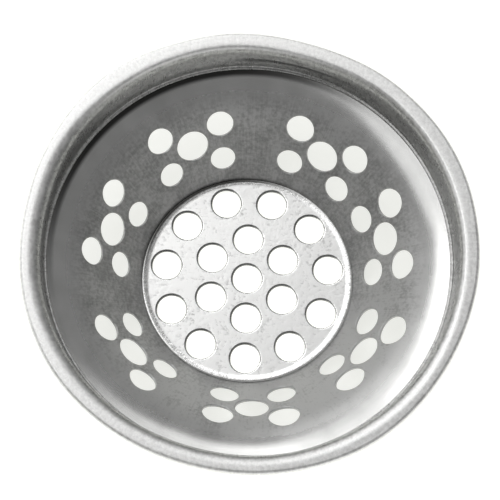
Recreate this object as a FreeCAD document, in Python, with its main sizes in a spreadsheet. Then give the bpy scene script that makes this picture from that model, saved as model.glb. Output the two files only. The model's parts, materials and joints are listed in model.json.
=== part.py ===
"""Sink strainer: a curled rim ring, a perforated bowl under it and a perforated plate in its foot.

Millimetres, +Z up. The origin is the centre of the foot, on the surface that the strainer stands on.
"""
import FreeCAD, Part
import math
import os
import Sketcher

SIZES = {
    # Whole strainer
    "rim_radius": 40.0,
    "overall_height": 23.35,
    "seam_clearance": 0.05,
    # Rim ring: curled edge with a flat return under it, flat, bend, collar and lip
    "rim_gauge": 0.5,
    "edge_radius": 0.75,
    "return_width": 1.4,
    "rim_flat": 0.53,
    "rim_bend": 2.2,
    "collar_depth": 7.05,
    "collar_draft": 3.0,
    "collar_foot_bend": 0.25,
    "lip_reach": 0.25,
    # Bowl: skirt round the collar, shoulder, wall and the seat at its foot
    "bowl_gauge": 0.5,
    "skirt_height": 2.5,
    "shoulder_radius": 16.8,
    "shoulder_turn": 34.75,
    "seat_width": 0.65,
    # Bowl drain holes: a middle hole with one pair above it and one pair below, along the wall
    "group_rise": 9.2,
    "upper_rise": 3.5,
    "upper_half_span": 5.85,
    "lower_drop": 3.9,
    "lower_half_span": 5.15,
    "middle_hole": 6.0,
    "upper_hole": 5.35,
    "lower_hole": 5.0,
    # Bottom plate: flat disc with a short up-turned edge
    "plate_gauge": 0.5,
    "plate_flat_radius": 18.75,
    "plate_bend": 0.8,
    # Plate drain holes: one in the middle, an outer ring and an inner ring half as far out
    "plate_hole": 5.3,
    "inner_ring_count": 6,
    "inner_ring_start": 92.8,
    "outer_ring_inset": 3.5,
    "outer_ring_count": 11,
    "outer_ring_start": 109.3,
}

# Each group of bowl holes stands at its own bearing and is punched a little askew, in degrees.
HOLE_GROUPS = {
    "north_east": (62.0, -1.5),
    "east": (17.5, 4.0),
    "south_east": (-32.0, 6.0),
    "south": (-84.0, 5.0),
    "south_west": (-138.0, 3.0),
    "west": (168.0, 1.5),
    "north_west": (118.0, 5.0),
}

FULL_TURN = 360.0
# Holes that run into each other take less than their own volume out of a sheet.
LEAST_SHARE_REMOVED = 0.5


class Term:
    """A size with its present value and the expression that keeps it bound to the sheet."""

    def __init__(self, value, text):
        self.value = value
        self.text = text

    def __add__(self, other):
        return Term(self.value + other.value, f"({self.text} + {other.text})")

    def __sub__(self, other):
        return Term(self.value - other.value, f"({self.text} - {other.text})")

    def __mul__(self, other):
        return Term(self.value * other.value, f"{self.text} * {other.text}")

    def __truediv__(self, other):
        return Term(self.value / other.value, f"{self.text} / ({other.text})")

    def __neg__(self):
        return Term(-self.value, f"(-{self.text})")


def number(value):
    return Term(value, repr(value))


def sine(angle):
    return Term(math.sin(math.radians(angle.value)), f"sin({angle.text})")


def cosine(angle):
    return Term(math.cos(math.radians(angle.value)), f"cos({angle.text})")


def slope_between(run, rise, offset):
    """Slope of the line between two points, one on either side of it, from the step between them.

    The offset is the sum of their distances from the line.
    """
    reach = math.hypot(run.value, rise.value)
    value = math.degrees(math.atan2(rise.value, run.value) + math.asin(offset.value / reach))
    reach_text = f"hypot({run.text}; {rise.text})"
    return Term(value, f"atan2({rise.text}; {run.text}) + asin(({offset.text}) / {reach_text})")


ORIGIN = number(0.0)

doc = FreeCAD.newDocument("sink_strainer")
sheet = doc.addObject("Spreadsheet::Sheet", "Sizes")
layout = doc.addObject("App::VarSet", "Layout")


def fill_sheet():
    """Write every driving dimension into the sheet, one row each."""
    rows = dict(SIZES)
    for name, (bearing, twist) in HOLE_GROUPS.items():
        rows[f"{name}_bearing"] = bearing
        rows[f"{name}_twist"] = twist
    for row, (alias, value) in enumerate(rows.items(), start=1):
        sheet.set(f"A{row}", alias.replace("_", " "))
        sheet.set(f"B{row}", str(value))
        sheet.setAlias(f"B{row}", alias)
    doc.recompute()


def size(alias):
    return Term(float(sheet.get(alias)), f"Sizes.{alias}")


def place(alias, term):
    """Keep a worked-out place or angle as a named value of the document."""
    layout.addProperty("App::PropertyFloat", alias, "Layout")
    layout.setExpression(alias, term.text)
    return Term(term.value, f"Layout.{alias}")


def origin_feature(body, role):
    return next(item for item in body.Origin.OriginFeatures if item.Role == role)


def new_sketch(body, name, role):
    sketch = body.newObject("Sketcher::SketchObject", name)
    sketch.AttachmentSupport = [(origin_feature(body, role), "")]
    sketch.MapMode = "FlatFace"
    return sketch


def bind(sketch, constraint, term):
    index = sketch.addConstraint(constraint)
    sketch.setExpression(f"Constraints[{index}]", term.text)


def pin_point(sketch, curve, end, point):
    """Tie one end of a curve to its place; a point at zero lies on the axis itself."""
    across, up = point
    if across is ORIGIN:
        sketch.addConstraint(Sketcher.Constraint("PointOnObject", curve, end, -2))
    else:
        bind(sketch, Sketcher.Constraint("DistanceX", -1, 1, curve, end, across.value), across)
    if up is ORIGIN:
        sketch.addConstraint(Sketcher.Constraint("PointOnObject", curve, end, -1))
    else:
        bind(sketch, Sketcher.Constraint("DistanceY", -1, 1, curve, end, up.value), up)


def arc_middle(start, end, radius, turns_left):
    """Middle point of the shorter arc between two points."""
    chord = end - start
    half = chord.Length / 2
    rise = radius - math.sqrt(max(radius**2 - half**2, 0.0))
    side = FreeCAD.Vector(chord.y, -chord.x, 0).normalize()
    return (start + end) / 2 + side * (rise if turns_left else -rise)


def draw_outline(sketch, outline):
    """Draw a closed outline. Each step is a point and the bend that follows it, or None for a line.

    A bend is its radius and whether it turns left.
    """
    points = [FreeCAD.Vector(across.value, up.value, 0) for (across, up), bend in outline]
    count = len(points)
    ends = []
    for index, (corner, bend) in enumerate(outline):
        start = points[index]
        end = points[(index + 1) % count]
        if bend is None:
            sketch.addGeometry(Part.LineSegment(start, end), False)
            ends.append((1, 2))
            continue
        radius, turns_left = bend
        middle = arc_middle(start, end, radius.value, turns_left)
        first, last = (start, end) if turns_left else (end, start)
        sketch.addGeometry(Part.Arc(first, middle, last), False)
        ends.append((1, 2) if turns_left else (2, 1))
    for index, (corner, bend) in enumerate(outline):
        before = (index - 1) % count
        sketch.addConstraint(
            Sketcher.Constraint("Coincident", before, ends[before][1], index, ends[index][0])
        )
        pin_point(sketch, index, ends[index][0], corner)
        if bend is not None:
            bind(sketch, Sketcher.Constraint("Radius", index, bend[0].value), bend[0])


def spun_body(name, outline):
    """A body spun from its half section about the strainer's axis."""
    body = doc.addObject("PartDesign::Body", name)
    body.Label = name
    section = new_sketch(body, f"{name}_section", "XZ_Plane")
    draw_outline(section, outline)
    spin = body.newObject("PartDesign::Revolution", f"{name}_spin")
    spin.Profile = section
    spin.ReferenceAxis = (section, ["V_Axis"])
    spin.Angle = FULL_TURN
    doc.recompute()
    return body


def demand_removed(name, removed, diameters, gauge):
    """Stop unless the holes have taken their share out of the sheet."""
    area = sum(math.pi * (diameter.value / 2) ** 2 for diameter in diameters)
    if removed < LEAST_SHARE_REMOVED * area * gauge.value:
        raise RuntimeError(f"{name}: holes removed only {removed:.2f} mm3")


def left(radius):
    return (radius, True)


def right(radius):
    return (radius, False)


fill_sheet()

seam = size("seam_clearance")
rim_gauge = size("rim_gauge")
bowl_gauge = size("bowl_gauge")
plate_gauge = size("plate_gauge")

# Centres of the curled edge and of the bend from the rim's flat into the collar
rim_top = size("overall_height")
edge_radius = size("edge_radius")
curl_r = place("curl_r", size("rim_radius") - edge_radius)
curl_z = place("curl_z", rim_top - edge_radius)
rim_bend = size("rim_bend")
bend_r = place("bend_r", curl_r - size("rim_flat"))
bend_z = place("bend_z", rim_top - rim_bend)

# Lip at the foot of the collar, and the centre of the bend between them
draft = size("collar_draft")
draft_sine = sine(draft)
draft_cosine = cosine(draft)
foot_bend = size("collar_foot_bend")
lip_top = place("lip_top", rim_top - size("collar_depth"))
lip_under = place("lip_under", lip_top - rim_gauge)
foot_z = place("foot_z", lip_top + foot_bend)
bend_gap = rim_bend + foot_bend
collar_run = (bend_z + bend_gap * draft_sine - foot_z) / draft_cosine
foot_r = place("foot_r", bend_r - bend_gap * draft_cosine - collar_run * draft_sine)
lip_r = place("lip_r", foot_r - size("lip_reach"))

# Plate seated in the foot of the bowl, and the centre of the bend round its edge
plate_bend = size("plate_bend")
plate_flat_r = size("plate_flat_radius")
plate_under = place("plate_under", bowl_gauge + seam)
plate_top = place("plate_top", plate_under + plate_gauge)
edge_z = place("edge_z", plate_top + plate_bend)
seat_bend = place("seat_bend", plate_bend + plate_gauge + seam)
seat_bore_r = place("seat_bore_r", plate_flat_r - size("seat_width"))
outer_ring_r = place("outer_ring_r", plate_flat_r - size("outer_ring_inset"))
inner_ring_r = place("inner_ring_r", outer_ring_r / number(2))

# Bowl shoulder, sloping down from the lip, and the straight wall between the shoulder and the seat
skirt_bend = place("skirt_bend", foot_bend + rim_gauge + seam)
shoulder_radius = size("shoulder_radius")
shoulder_turn = size("shoulder_turn")
foot_offset = shoulder_radius - (shoulder_radius + skirt_bend) * cosine(shoulder_turn)
wall_angle = place(
    "wall_angle", slope_between(foot_r - plate_flat_r, foot_z - edge_z, foot_offset + seat_bend)
)
wall_sine = sine(wall_angle)
wall_cosine = cosine(wall_angle)
shoulder_slope = place("shoulder_slope", wall_angle - shoulder_turn)
slope_sine = sine(shoulder_slope)
slope_cosine = cosine(shoulder_slope)
shoulder_r = place("shoulder_r", foot_r + (skirt_bend + shoulder_radius) * slope_sine)
shoulder_z = place("shoulder_z", foot_z - (skirt_bend + shoulder_radius) * slope_cosine)
wall_foot_r = place("wall_foot_r", plate_flat_r + seat_bend * wall_sine)
wall_foot_z = place("wall_foot_z", edge_z - seat_bend * wall_cosine)


def on_rim_bend(radius):
    """Point where the rim's bend runs into the collar."""
    return (bend_r - radius * draft_cosine, bend_z + radius * draft_sine)


def on_collar_foot(radius):
    """Point where the collar's foot bend runs into the collar or the skirt."""
    return (foot_r + radius * draft_cosine, foot_z - radius * draft_sine)


def on_plate_edge(radius):
    """Point where the bend round the plate's edge reaches the slope of the wall."""
    return (plate_flat_r + radius * wall_sine, edge_z - radius * wall_cosine)


def on_skirt_bend(radius):
    """Point where the skirt's bend runs into the shoulder."""
    return (foot_r + radius * slope_sine, foot_z - radius * slope_cosine)


def on_shoulder(radius):
    """Point where the shoulder runs into the wall."""
    return (shoulder_r - radius * wall_sine, shoulder_z + radius * wall_cosine)


def make_rim_ring():
    """Curled edge with a flat return, bend down into the collar and a lip turned in at its foot."""
    inside = edge_radius - rim_gauge
    bend_back = rim_bend - rim_gauge
    foot_back = foot_bend + rim_gauge
    return_r = place("return_r", curl_r - size("return_width"))
    outline = [
        ((lip_r, lip_under), None),
        ((lip_r, lip_top), None),
        ((foot_r, lip_top), left(foot_bend)),
        (on_collar_foot(foot_bend), None),
        (on_rim_bend(rim_bend), right(rim_bend)),
        ((bend_r, rim_top), None),
        ((curl_r, rim_top), right(edge_radius)),
        ((curl_r + edge_radius, curl_z), right(edge_radius)),
        ((curl_r, curl_z - edge_radius), None),
        ((return_r, curl_z - edge_radius), None),
        ((return_r, curl_z - inside), None),
        ((curl_r, curl_z - inside), left(inside)),
        ((curl_r + inside, curl_z), left(inside)),
        ((curl_r, curl_z + inside), None),
        ((bend_r, rim_top - rim_gauge), left(bend_back)),
        (on_rim_bend(bend_back), None),
        (on_collar_foot(foot_back), right(foot_back)),
        ((foot_r, lip_under), None),
    ]
    return spun_body("rim_ring", outline)


def bowl_blank():
    """Bowl before its holes: skirt, shoulder, wall and the seat turned in at its foot."""
    skirt_back = skirt_bend + bowl_gauge
    shoulder_back = shoulder_radius - bowl_gauge
    seat_back = seat_bend + bowl_gauge
    skirt_height = size("skirt_height")

    def on_skirt_top(radius):
        across, up = on_collar_foot(radius)
        return (across + skirt_height * draft_sine, up + skirt_height * draft_cosine)

    outline = [
        ((seat_bore_r, bowl_gauge), None),
        ((plate_flat_r, bowl_gauge), left(seat_bend)),
        (on_plate_edge(seat_bend), None),
        (on_shoulder(shoulder_radius), right(shoulder_radius)),
        (on_skirt_bend(skirt_bend), left(skirt_bend)),
        (on_collar_foot(skirt_bend), None),
        (on_skirt_top(skirt_bend), None),
        (on_skirt_top(skirt_back), None),
        (on_collar_foot(skirt_back), right(skirt_back)),
        (on_skirt_bend(skirt_back), left(shoulder_back)),
        (on_shoulder(shoulder_back), None),
        (on_plate_edge(seat_back), right(seat_back)),
        ((plate_flat_r, ORIGIN), None),
        ((seat_bore_r, ORIGIN), None),
    ]
    return spun_body("bowl_blank", outline)


def punch(name, group, along, across, diameter):
    """A punch square to the wall, from its place in a hole group, along and across the wall."""
    twist = size(f"{group}_twist")
    rise = size("group_rise") + along * cosine(twist) + across * sine(twist)
    wall_r = wall_foot_r + rise * wall_cosine
    wall_z = wall_foot_z + rise * wall_sine
    swing = (across * cosine(twist) - along * sine(twist)) / wall_r * number(math.degrees(1))
    bearing = size(f"{group}_bearing") + swing
    back = diameter / number(2)
    start_r = wall_r + back * wall_sine
    start_z = wall_z - back * wall_cosine
    start_x = f"({start_r.text}) * cos({bearing.text})"
    start_y = f"({start_r.text}) * sin({bearing.text})"
    tool = doc.addObject("Part::Cylinder", name)
    tool.setExpression("Radius", back.text)
    tool.setExpression("Height", diameter.text)
    tool.setExpression(
        "Placement",
        f"placement(vector({start_x}; {start_y}; {start_z.text});"
        f" rotation({bearing.text}; -{wall_angle.text}; 0))",
    )
    return tool


def make_strainer_bowl():
    """Bowl with its groups of five drain holes."""
    upper_rise = size("upper_rise")
    upper_span = size("upper_half_span")
    lower_drop = -size("lower_drop")
    lower_span = size("lower_half_span")
    group_holes = {
        "middle": (ORIGIN, ORIGIN, size("middle_hole")),
        "upper_left": (upper_rise, upper_span, size("upper_hole")),
        "upper_right": (upper_rise, -upper_span, size("upper_hole")),
        "lower_left": (lower_drop, lower_span, size("lower_hole")),
        "lower_right": (lower_drop, -lower_span, size("lower_hole")),
    }
    tools = [
        punch(f"{group}_{hole}_punch", group, *placing)
        for group in HOLE_GROUPS
        for hole, placing in group_holes.items()
    ]
    punches = doc.addObject("Part::MultiFuse", "bowl_punches")
    punches.Shapes = tools
    blank = bowl_blank()
    bowl = doc.addObject("Part::Cut", "strainer_bowl")
    bowl.Base = blank
    bowl.Tool = punches
    bowl.Label = "strainer_bowl"
    doc.recompute()
    diameters = [diameter for along, across, diameter in group_holes.values()] * len(HOLE_GROUPS)
    demand_removed(bowl.Label, blank.Shape.Volume - bowl.Shape.Volume, diameters, bowl_gauge)
    return bowl


def cut_plate_hole(body, name, ring_radius, start):
    """One drain hole straight through the plate, at a bearing on a ring or in the middle."""
    sketch = new_sketch(body, f"{name}_sketch", "XY_Plane")
    hole_radius = size("plate_hole") / number(2)
    centre = (ring_radius * cosine(start), ring_radius * sine(start))
    circle = Part.Circle()
    circle.Center = FreeCAD.Vector(centre[0].value, centre[1].value, 0)
    circle.Radius = hole_radius.value
    sketch.addGeometry(circle, False)
    bind(sketch, Sketcher.Constraint("Radius", 0, hole_radius.value), hole_radius)
    if ring_radius is ORIGIN:
        sketch.addConstraint(Sketcher.Constraint("Coincident", 0, 3, -1, 1))
    else:
        pin_point(sketch, 0, 3, centre)
    pocket = body.newObject("PartDesign::Pocket", name)
    pocket.Profile = sketch
    pocket.Type = "ThroughAll"
    pocket.Reversed = True
    return pocket


def cut_plate_ring(body, name, ring_radius):
    """A ring of drain holes, repeated round the axis."""
    first = cut_plate_hole(body, f"{name}_hole", ring_radius, size(f"{name}_start"))
    ring = body.newObject("PartDesign::PolarPattern", name)
    ring.Originals = [first]
    ring.Axis = (origin_feature(body, "Z_Axis"), [""])
    ring.Angle = FULL_TURN
    ring.setExpression("Occurrences", size(f"{name}_count").text)
    body.Tip = ring
    doc.recompute()


def make_bottom_plate():
    """Flat disc with its edge turned up against the wall, and its drain holes."""
    edge_back = plate_bend + plate_gauge
    outline = [
        ((ORIGIN, plate_under), None),
        ((plate_flat_r, plate_under), left(edge_back)),
        (on_plate_edge(edge_back), None),
        (on_plate_edge(plate_bend), right(plate_bend)),
        ((plate_flat_r, plate_top), None),
        ((ORIGIN, plate_top), None),
    ]
    body = spun_body("bottom_plate", outline)
    solid_volume = body.Shape.Volume
    cut_plate_hole(body, "middle_hole_cut", ORIGIN, ORIGIN)
    doc.recompute()
    cut_plate_ring(body, "inner_ring", inner_ring_r)
    cut_plate_ring(body, "outer_ring", outer_ring_r)
    ring_holes = size("inner_ring_count").value + size("outer_ring_count").value
    diameters = [size("plate_hole")] * (1 + int(ring_holes))
    demand_removed(body.Label, solid_volume - body.Shape.Volume, diameters, plate_gauge)
    return body


def check(parts):
    """Stop unless every object is sound and every sub-part is one solid."""
    for item in doc.Objects:
        if {"Invalid", "Error"} & set(item.State):
            raise RuntimeError(f"{item.Label}: {item.State}")
    for part in parts:
        shape = part.Shape
        if shape.isNull() or not shape.isValid() or len(shape.Solids) != 1:
            raise RuntimeError(f"{part.Label}: not one sound solid")


sub_parts = [make_rim_ring(), make_strainer_bowl(), make_bottom_plate()]
doc.recompute()
check(sub_parts)

os.makedirs("parts", exist_ok=True)
for part in sub_parts:
    part.Shape.exportStep(f"parts/{part.Label}.step")
    box = part.Shape.optimalBoundingBox(False)
    print(f"{part.Label}: volume {part.Shape.Volume:.1f} mm3, height {box.ZMin:.2f} to {box.ZMax:.2f}")
print(f"wall angle {wall_angle.value:.2f}, shoulder slope {shoulder_slope.value:.2f}")
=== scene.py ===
"""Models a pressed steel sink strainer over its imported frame, and sets it on a plain studio stage.

Lengths are in metres and angles in radians. +Z runs up the strainer's axis, and bearings are counted
from +X towards +Y. A section is drawn in the plane y = 0, as (radius, height), and then revolved.
"""

import json
import math
from types import SimpleNamespace

import bmesh
import bpy
from bpy.props import FloatProperty, FloatVectorProperty, IntProperty, PointerProperty
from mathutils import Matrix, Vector
from mathutils.kdtree import KDTree

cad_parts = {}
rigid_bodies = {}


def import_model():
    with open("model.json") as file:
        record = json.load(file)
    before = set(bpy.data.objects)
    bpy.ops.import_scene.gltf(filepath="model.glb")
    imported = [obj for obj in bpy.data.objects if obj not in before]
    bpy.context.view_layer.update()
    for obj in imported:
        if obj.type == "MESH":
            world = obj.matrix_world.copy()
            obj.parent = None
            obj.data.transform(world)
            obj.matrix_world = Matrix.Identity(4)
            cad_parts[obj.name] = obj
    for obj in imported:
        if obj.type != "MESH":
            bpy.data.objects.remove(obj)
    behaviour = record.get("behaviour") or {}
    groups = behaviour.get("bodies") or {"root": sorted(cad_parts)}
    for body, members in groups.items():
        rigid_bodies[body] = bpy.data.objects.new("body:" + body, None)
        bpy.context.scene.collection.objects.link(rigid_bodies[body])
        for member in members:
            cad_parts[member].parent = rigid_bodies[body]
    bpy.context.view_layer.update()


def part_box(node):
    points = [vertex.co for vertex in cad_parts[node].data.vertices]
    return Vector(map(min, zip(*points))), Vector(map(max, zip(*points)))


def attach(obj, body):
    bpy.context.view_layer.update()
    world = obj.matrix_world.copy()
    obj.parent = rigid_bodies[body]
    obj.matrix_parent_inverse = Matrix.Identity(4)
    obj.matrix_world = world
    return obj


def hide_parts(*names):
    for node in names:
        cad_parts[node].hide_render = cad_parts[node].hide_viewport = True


for leftover in list(bpy.data.objects):
    bpy.data.objects.remove(leftover)
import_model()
RIM_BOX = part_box("rim_ring")

bl_info = {
    "name": "Sink strainer",
    "version": (1, 0, 0),
    "blender": (4, 5, 0),
    "location": "View3D > Sidebar > Strainer",
    "description": "Models a pressed steel sink strainer and its studio stage",
    "category": "Add Mesh",
}

MM = 0.001
# Vertices closer than this are one.
WELD = 0.001 * MM
# Room round a hole's wall in which its open edges are looked for.
EDGE_ROOM = 0.45 * MM
# Attribute of the bottom disc that tells its finish where to paint shadow on the edges of its holes.
HOLE_SHADOW = "painted_hole_shadow"
# Faces that meet at less than this angle are shaded as one.
SMOOTH_ANGLE = math.radians(40.0)
# Depth and half width of the patch of rim that is pushed, and the reach of the push round it.
PUSH_DEPTH = 6.0 * MM
PUSH_HALF_WIDTH = 0.6 * MM
PUSH_REACH = 17.0 * MM
# Height of the paler air at the horizon, as a share of the way up to the zenith.
HORIZON_RISE = 0.2

# Bearing and twist in degrees of each group of five drain holes in the wall, and how wide its outer
# four are against their named width, as measured on the real one.
WALL_GROUPS = (
    (62.0, -1.5, 0.97),
    (17.5, 4.0, 0.99),
    (-32.0, 6.0, 1.05),
    (-84.0, 5.0, 1.04),
    (-138.0, 3.0, 0.97),
    (168.0, 1.5, 0.93),
    (118.0, 5.0, 0.93),
)

# Bearing in degrees and push in millimetres of the places where the rim is drawn out or pressed in.
RIM_BENDS = (
    (30.0, 0.26),
    (133.0, 0.66),
    (219.0, 0.30),
    (304.0, 0.33),
    (78.0, -0.55),
    (175.0, -0.42),
    (260.0, -0.24),
    (340.0, -0.20),
)

# Name, bearing and rise in degrees, width and height in metres, and brightness of each soft light.
STUDIO_LIGHTS = (
    ("key_light", 122.0, 46.0, 0.85, 0.62, 0.92),
    ("core_light", 138.0, 54.0, 0.42, 0.36, 1.85),
    ("top_light", 180.0, 64.0, 0.50, 0.55, 1.09),
    ("back_light", 86.0, 48.0, 0.42, 0.48, 1.05),
    ("crown_light", 108.0, 74.0, 0.42, 0.42, 0.68),
    ("low_light", 122.0, 15.0, 0.95, 0.28, 1.0),
    ("front_light", 292.0, 13.0, 1.60, 0.30, 0.88),
    ("left_light", 174.0, 12.0, 0.90, 0.28, 1.0),
)


def length(name, description, millimetres):
    """A length that the user can change, given here in millimetres."""
    return FloatProperty(
        name=name, description=description, default=millimetres * MM, min=0.0, unit="LENGTH", precision=5
    )


def angle(name, description, degrees):
    """An angle that the user can change, given here in degrees."""
    return FloatProperty(
        name=name, description=description, default=math.radians(degrees), subtype="ANGLE"
    )


class StrainerSizes(bpy.types.PropertyGroup):
    """Sizes of the three pressed pieces."""

    rim_radius: length("Rim radius", "Axis to the outside of the curled rim", RIM_BOX[1].x / MM)
    rim_top: length("Rim top", "Foot to the top of the curled rim", RIM_BOX[1].z / MM)
    rim_gauge: length("Rim gauge", "Sheet thickness of the rim and its collar", 0.5)
    edge_radius: length("Edge radius", "Outside radius of the curled edge", 0.75)
    return_width: length("Return width", "Flat of the return under the curled edge", 1.4)
    rim_flat: length("Rim flat", "Flat on top of the rim, between the edge and the bend", 0.53)
    rim_bend: length("Rim bend", "Outside radius of the bend from the rim into the collar", 2.2)
    collar_depth: length("Collar depth", "Rim top down to the lip at the collar's foot", 7.05)
    collar_draft: angle("Collar draft", "Lean of the collar from upright", 3.0)
    collar_foot_bend: length("Collar foot bend", "Inside bend from the collar to its lip", 0.25)
    lip_width: length("Lip width", "Flat of the lip at the collar's foot", 0.25)
    seam: length("Seam", "Air between two neighbouring sheets", 0.05)
    bowl_gauge: length("Bowl gauge", "Sheet thickness of the bowl", 0.5)
    skirt_height: length("Skirt height", "Rise of the bowl's skirt behind the collar", 2.5)
    shoulder_radius: length("Shoulder radius", "Bend of the shoulder under the lip", 16.8)
    shoulder_turn: angle("Shoulder turn", "Angle that the shoulder bends through, down to the wall", 34.75)
    seat_width: length("Seat width", "Flat of the in-turned seat at the bowl's foot", 0.65)
    plate_gauge: length("Plate gauge", "Sheet thickness of the bottom plate", 0.5)
    plate_flat_radius: length("Plate flat radius", "Axis to the bend at the plate's edge", 18.75)
    plate_bend: length("Plate bend", "Inside bend at the plate's edge", 0.8)
    edge_slope: angle("Edge slope", "Rise of the plate's upper side towards its edge", 10.0)
    edge_sweep: length("Edge sweep", "Bend of the plate's upper side into that rise", 1.5)
    edge_set: FloatProperty(
        name="Edge set", description="Share of the gauge that the plate's upper edge stands back",
        default=0.3, min=0.0, max=0.9, subtype="FACTOR"
    )
    cut_edge: length("Cut edge", "Rounding of the sheets' cut edges", 0.14)
    tight_bearing: angle("Tight bearing", "Bearing at which the rim's bend is tightest", 65.0)
    tightening: FloatProperty(
        name="Tightening", description="Share by which the rim's bend is narrower there", default=0.45,
        min=0.0, max=0.7, subtype="FACTOR"
    )
    revolve_steps: IntProperty(
        name="Revolve steps", description="Faces round a revolved sheet", default=252, min=24
    )


class HoleSizes(bpy.types.PropertyGroup):
    """Sizes and places of the drain holes."""

    middle: length("Middle hole", "Width of a wall group's middle hole", 6.0)
    upper: length("Upper holes", "Width of a wall group's two upper holes", 5.35)
    lower: length("Lower holes", "Width of a wall group's two lower holes", 5.0)
    group_rise: length("Group rise", "Wall foot up the wall to the middle hole", 9.2)
    upper_rise: length("Upper rise", "Middle hole up the wall to the upper holes", 3.5)
    upper_half_span: length("Upper half span", "Group's centre line to an upper hole", 5.85)
    lower_drop: length("Lower drop", "Middle hole down the wall to the lower holes", 3.9)
    lower_half_span: length("Lower half span", "Group's centre line to a lower hole", 5.15)
    plate: length("Plate holes", "Width of the holes in the bottom plate", 5.3)
    inner_start: angle("Inner start", "Bearing of the inner ring's first hole", 92.8)
    inner_count: IntProperty(name="Inner count", description="Holes in the inner ring", default=6, min=1)
    outer_inset: length("Outer inset", "Edge of the plate's flat to the outer ring of holes", 3.5)
    outer_start: angle("Outer start", "Bearing of the outer ring's first hole", 109.3)
    outer_count: IntProperty(name="Outer count", description="Holes in the outer ring", default=11, min=1)
    wall_roll: length("Wall roll-over", "Rounding that the punch leaves on the wall", 0.22)
    plate_roll: length("Plate roll-over", "Rounding that the punch leaves on the plate", 0.40)
    # Painted shadow: side of each plate hole whose edge is painted dark, the side the key light comes from.
    hole_shadow_bearing: angle("Wet bearing", "Side of each plate hole where water stays and dulls the edge", 130.0)
    sides: IntProperty(name="Sides", description="Sides of each punched hole", default=48, min=12)


def colour(name, description, value):
    """A colour that the user can change."""
    return FloatVectorProperty(
        name=name, description=description, default=value, min=0.0, max=1.0, subtype="COLOR"
    )


def roughness(name, description, value):
    """A roughness that the user can change."""
    return FloatProperty(
        name=name, description=description, default=value, min=0.0, max=1.0, subtype="FACTOR"
    )


def brightness(name, description, value):
    """A brightness that the user can change."""
    return FloatProperty(name=name, description=description, default=value, min=0.0)


class StrainerLooks(bpy.types.PropertyGroup):
    """Colours and roughness of the steel."""

    rim_light: colour("Rim, light", "Lightest steel on top of the rim", (1.0, 1.0, 0.99))
    rim_dark: colour("Rim, dark", "Darkest steel on top of the rim", (0.80, 0.80, 0.79))
    rim_roughness: roughness("Rim roughness", "How matte the top of the rim is", 0.50)
    bright_from: length("Bright from", "Bend's centre up to the end of the collar's finish", 1.4)
    bright_to: length("Bright to", "Bend's centre up to the start of the top's finish", 2.05)
    collar_light: colour("Collar, light", "Lightest steel on the collar", (0.58, 0.58, 0.57))
    collar_dark: colour("Collar, dark", "Darkest steel on the collar", (0.36, 0.36, 0.355))
    collar_roughness: roughness("Collar roughness", "How matte the collar is", 0.28)
    wall_light: colour("Wall, light", "Lightest steel on the bowl's wall", (0.58, 0.58, 0.575))
    wall_dark: colour("Wall, dark", "Darkest steel on the bowl's wall", (0.35, 0.35, 0.345))
    wall_roughness: roughness("Wall roughness", "How matte the bowl's wall is", 0.50)
    # Painted light: bearing towards which the wall's colour is made lighter, the side whose inner face
    # turns to the key light.
    lit_side_bearing: angle("Worn side", "Bearing of the side where the wall is worn lightest", 290.0)
    shoulder_light: colour("Shoulder, light", "Lightest steel on the shoulder", (0.79, 0.79, 0.78))
    shoulder_dark: colour("Shoulder, dark", "Darkest steel on the shoulder", (0.57, 0.57, 0.56))
    shoulder_roughness: roughness("Shoulder roughness", "How matte the shoulder is", 0.22)
    shoulder_from: length("Shoulder from", "Lip in to the end of the wall's finish", 7.0)
    shoulder_to: length("Shoulder to", "Lip in to the start of the shoulder's finish", 2.5)
    # Painted shadow: dark colour laid below the lip, along the disc's edge by the wall and on one side of
    # the disc's holes, darkest on the side the key light comes from.
    shadow_colour: colour("Seam stain", "Stain in the seams", (0.05, 0.05, 0.047))
    shadow_bearing: angle("Stain bearing", "Bearing at which the seams are stained most", 125.0)
    lip_shadow_from: length("Lip stain from", "Lip in to the start of the stain below it", 1.6)
    lip_shadow_to: length("Lip stain to", "Lip in to the full stain below it", 0.7)
    # Painted shadow along the gap between the disc's edge and the bowl's wall.
    disc_shadow_from: length("Disc stain from", "Disc's bend out to the start of its stain", 0.1)
    disc_shadow_to: length("Disc stain to", "Disc's bend out to its full stain", 0.45)
    # How dark the painted shadow on the holes' edges is.
    hole_shadow_share: roughness("Dull share", "How far the stain covers the dull edges of the disc's holes", 0.8)
    disc_light: colour("Disc, light", "Lightest steel on the bottom disc", (1.0, 1.0, 0.99))
    disc_dark: colour("Disc, dark", "Darkest steel on the bottom disc", (0.42, 0.42, 0.415))
    disc_roughness: roughness("Disc roughness", "How matte the bottom disc is", 0.50)
    disc_edge_roughness: roughness("Disc edge roughness", "How matte the disc's worn edges are", 0.20)


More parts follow.
